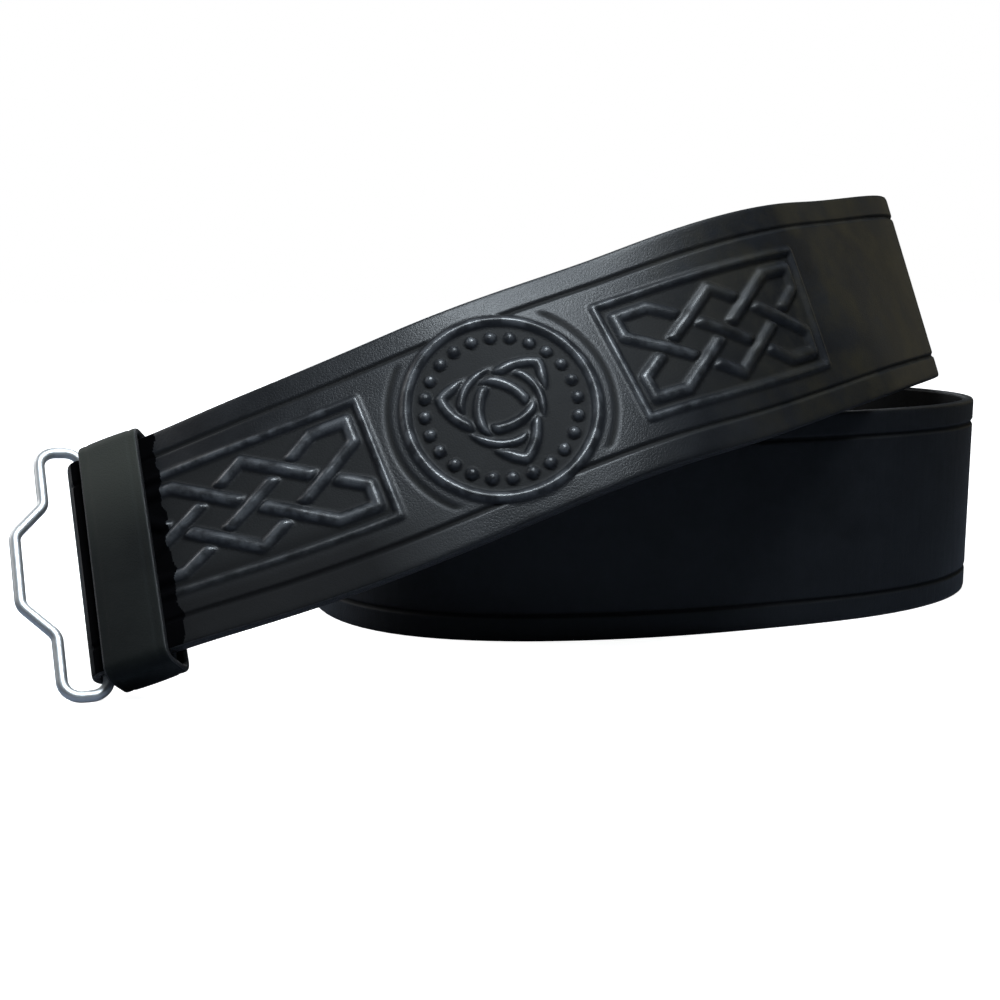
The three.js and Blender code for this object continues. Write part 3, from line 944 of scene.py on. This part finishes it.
# The straight runs are cut into short pieces too, so that the steel shades evenly along them.
even_path = []
for i, point in enumerate(wire_path):
    following = wire_path[(i + 1) % len(wire_path)]
    pieces = max(1, int(np.hypot(*(following - point)) / wire_step))
    even_path += [point + (following - point) * k / pieces for k in range(pieces)]
even_path = np.array(even_path)
wire_run = np.roll(even_path, -1, 0) - np.roll(even_path, 1, 0)
wire_run /= np.linalg.norm(wire_run, axis=1)[:, None]
wire_angle = (np.arange(wire_sides) + 0.5) * 2 * math.pi / wire_sides
wire_side = np.cos(wire_angle) * wire_diameter / 2
wire_out = np.sin(wire_angle) * wire_diameter / 2
eye_point, strap_along, eye_across, strap_outward = (v[0] for v in strap_frame(np.array([eye_at])))
hinge_point = eye_point + strap_outward * eye_out
eye_along = strap_along * math.cos(loop_swing) - strap_outward * math.sin(loop_swing)
eye_outward = strap_outward * math.cos(loop_swing) + strap_along * math.sin(loop_swing)
wire_points = (
    hinge_point
    + eye_along * (even_path[:, 0, None] - wire_run[:, 1, None] * wire_side)[..., None]
    + eye_across * (even_path[:, 1, None] + wire_run[:, 0, None] * wire_side)[..., None]
    + eye_outward * wire_out[None, :, None]
) / 1000


def closed_quads(ring_count, sides):
    """Faces between rings of points that follow one another and close, each ring closed as well."""
    here = np.arange(ring_count)[:, None] * sides
    following = ((np.arange(ring_count) + 1) % ring_count)[:, None] * sides
    side = np.arange(sides)[None, :]
    next_side = (side + 1) % sides
    corners = (here + side, here + next_side, following + next_side, following + side)
    return np.stack(corners, -1).reshape(-1, 4).tolist()


wire_mesh = bpy.data.meshes.new("steel_wire_loop")
wire_mesh.from_pydata(wire_points.reshape(-1, 3).tolist(), [], closed_quads(len(even_path), wire_sides))
wire_mesh.polygons.foreach_set("use_smooth", np.ones(len(wire_mesh.polygons), dtype=bool))
wire_mesh.update()

# Bright steel, a little uneven in tone and polish from drawing and handling
bright_steel = bpy.data.materials.new("bright_steel_wire")
bright_steel.use_nodes = True
tree = bright_steel.node_tree
link = tree.links.new
steel_shader = tree.nodes["Principled BSDF"]
steel_shader.inputs["Metallic"].default_value = 1.0
steel_place = tree.nodes.new("ShaderNodeTexCoord").outputs["Object"]
drawn = noise(tree, steel_place, 420.0, 5.0)
steel_tone = tree.nodes.new("ShaderNodeMix")
steel_tone.data_type = "RGBA"
steel_tone.inputs["A"].default_value = (0.50, 0.51, 0.52, 1.0)
steel_tone.inputs["B"].default_value = (0.66, 0.67, 0.68, 1.0)
link(drawn, steel_tone.inputs["Factor"])
link(steel_tone.outputs["Result"], steel_shader.inputs["Base Color"])
link(ramp(tree, drawn, 0.0, 1.0, 0.42, 0.56), steel_shader.inputs["Roughness"])
drawn_bumps = tree.nodes.new("ShaderNodeBump")
drawn_bumps.inputs["Strength"].default_value = 0.25
drawn_bumps.inputs["Distance"].default_value = 0.00005
link(drawn, drawn_bumps.inputs["Height"])
link(drawn_bumps.outputs["Normal"], steel_shader.inputs["Normal"])
wire_mesh.materials.append(bright_steel)
steel_wire = bpy.data.objects.new("steel_wire_loop", wire_mesh)
bpy.context.scene.collection.objects.link(steel_wire)
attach(steel_wire, "loop")
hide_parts("wire_loop")


# Keeper
# A plain band of the same hide, 15 mm wide and 2 mm thick, bent round the strap and its folded
# end. The joint at its back isn't shown, and its outer corners and edges are rounded off.
keeper_from = -14.5
keeper_to = 0.5
keeper_thickness = 2.0
keeper_corner = 1.6
room_top = 0.6
room_bottom = 1.6
room_front = 1.4
room_back = 0.8
keeper_dome = 0.22
line_from_middle = 5.6
line_half_width = 0.55
line_depth = 0.16

middle_corner = keeper_corner + keeper_thickness / 2
low = -half_width - room_bottom - keeper_thickness / 2
high = half_width + room_top + keeper_thickness / 2
back = 2 * eye_out - strap_thickness / 2 - room_back - keeper_thickness / 2
front = strap_thickness / 2 + room_front + keeper_thickness / 2
corner_facets = 10
side_spacing = 1.0
band_path = []
for centre_across, centre_out, start_turn in (
    (high - middle_corner, front - middle_corner, 0.0),
    (low + middle_corner, front - middle_corner, math.pi / 2),
    (low + middle_corner, back + middle_corner, math.pi),
    (high - middle_corner, back + middle_corner, 1.5 * math.pi),
):
    for k in range(corner_facets + 1):
        angle = start_turn + k / corner_facets * math.pi / 2
        spoke = np.array((math.cos(angle), math.sin(angle)))
        band_path.append((np.array((centre_across, centre_out)) + spoke * middle_corner, spoke))
even_band = []
for i, (point, spoke) in enumerate(band_path):
    following, _ = band_path[(i + 1) % len(band_path)]
    pieces = max(1, int(np.hypot(*(following - point)) / side_spacing))
    even_band += [(point + (following - point) * k / pieces, spoke) for k in range(pieces)]
band_points = np.array([point for point, _ in even_band])
band_spokes = np.array([spoke for _, spoke in even_band])

# Section of the band: along the strap, and outward from the middle of its thickness. It starts
# with the outer face, and goes on round one edge, the inner face and the other edge.
keeper_half = (keeper_to - keeper_from) / 2
band_round = 0.55
face_columns = 29
round_facets = 5
band_section = []
for along_share in np.linspace(-1, 1, face_columns):
    along_mm = along_share * (keeper_half - band_round)
    crown = keeper_dome * (1 - along_share**2)
    groove = line_depth * float(eased(1 - abs(abs(along_mm) - line_from_middle) / line_half_width))
    band_section.append((along_mm, keeper_thickness / 2 + crown - keeper_dome - groove))


def round_edge(middle_along, start_angle):
    """Adds a quarter circle to the section, clockwise from an angle, round a place along the strap."""
    middle_out = keeper_thickness / 2 - keeper_dome - band_round
    for k in range(1, round_facets):
        angle = start_angle - k / round_facets * math.pi / 2
        along_point = middle_along + band_round * math.cos(angle)
        band_section.append((along_point, middle_out + band_round * math.sin(angle)))


round_edge(keeper_half - band_round, math.pi / 2)
band_section.append((keeper_half, -keeper_thickness / 2 + band_round))
band_section.append((keeper_half - band_round, -keeper_thickness / 2))
band_section.append((-keeper_half + band_round, -keeper_thickness / 2))
band_section.append((-keeper_half, -keeper_thickness / 2 + band_round))
round_edge(-keeper_half + band_round, math.pi)
band_section = np.array(band_section)
keeper_point, keeper_along, keeper_across, keeper_outward = (
    v[0] for v in strap_frame(np.array([(keeper_from + keeper_to) / 2]))
)
band_across = band_points[:, 0, None] + band_spokes[:, 0, None] * band_section[None, :, 1]
band_out = band_points[:, 1, None] + band_spokes[:, 1, None] * band_section[None, :, 1]
band_along = np.broadcast_to(band_section[None, :, 0], band_across.shape)
keeper_points = (
    keeper_point
    + keeper_along * band_along[..., None]
    + keeper_across * band_across[..., None]
    + keeper_outward * band_out[..., None]
) / 1000
band_count = len(even_band)
band_sides = len(band_section)
keeper_mesh = bpy.data.meshes.new("keeper_band")
keeper_mesh.from_pydata(keeper_points.reshape(-1, 3).tolist(), [], closed_quads(band_count, band_sides))
keeper_mesh.polygons.foreach_set("use_smooth", np.ones(len(keeper_mesh.polygons), dtype=bool))
# The upper part of the band is paler and olive: a painted highlight where the light from above falls on
# it.
top_light_from, top_light_full = -4.0, 24.0
painted_top_light_share = eased((np.repeat(band_points[:, 0], band_sides) - top_light_from) / (top_light_full - top_light_from))
layer = keeper_mesh.attributes.new("painted_top_light", "FLOAT", "POINT")
layer.data.foreach_set("value", painted_top_light_share.astype(np.float32))
keeper_leather, keeper_grain, keeper_shader = leather(
    "keeper_leather",
    cells=1300.0,
    tone=(0.0032, 0.0042, 0.0042),
    rubbed_dye=(0.007, 0.0084, 0.0078),
    roughness=0.5,
    specular=0.13,
    bump=0.35,
    bump_distance=0.00006,
)
tree = keeper_leather.node_tree
painted_top_light = attribute(tree, "painted_top_light")
# Paler olive colour over the upper part of the band: painted highlight.
keeper_tone = colour_over(tree, keeper_grain.outputs["Color"], (0.03, 0.032, 0.0275), painted_top_light)
tree.links.new(keeper_tone, keeper_shader.inputs["Base Color"])
keeper_mesh.materials.append(keeper_leather)
keeper_mesh.materials.append(cut_edge)
# The inner face lies between the two cut edges and shows the same leather as the outer one.
band_column = np.tile(np.arange(band_sides), band_count)
inner_face = face_columns + round_facets
is_cut = (band_column > face_columns) & (band_column != inner_face)
keeper_mesh.polygons.foreach_set("material_index", is_cut.astype(np.int32))
keeper_mesh.update()
keeper = bpy.data.objects.new("keeper_band", keeper_mesh)
bpy.context.scene.collection.objects.link(keeper)
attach(keeper, "belt")
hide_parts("keeper")
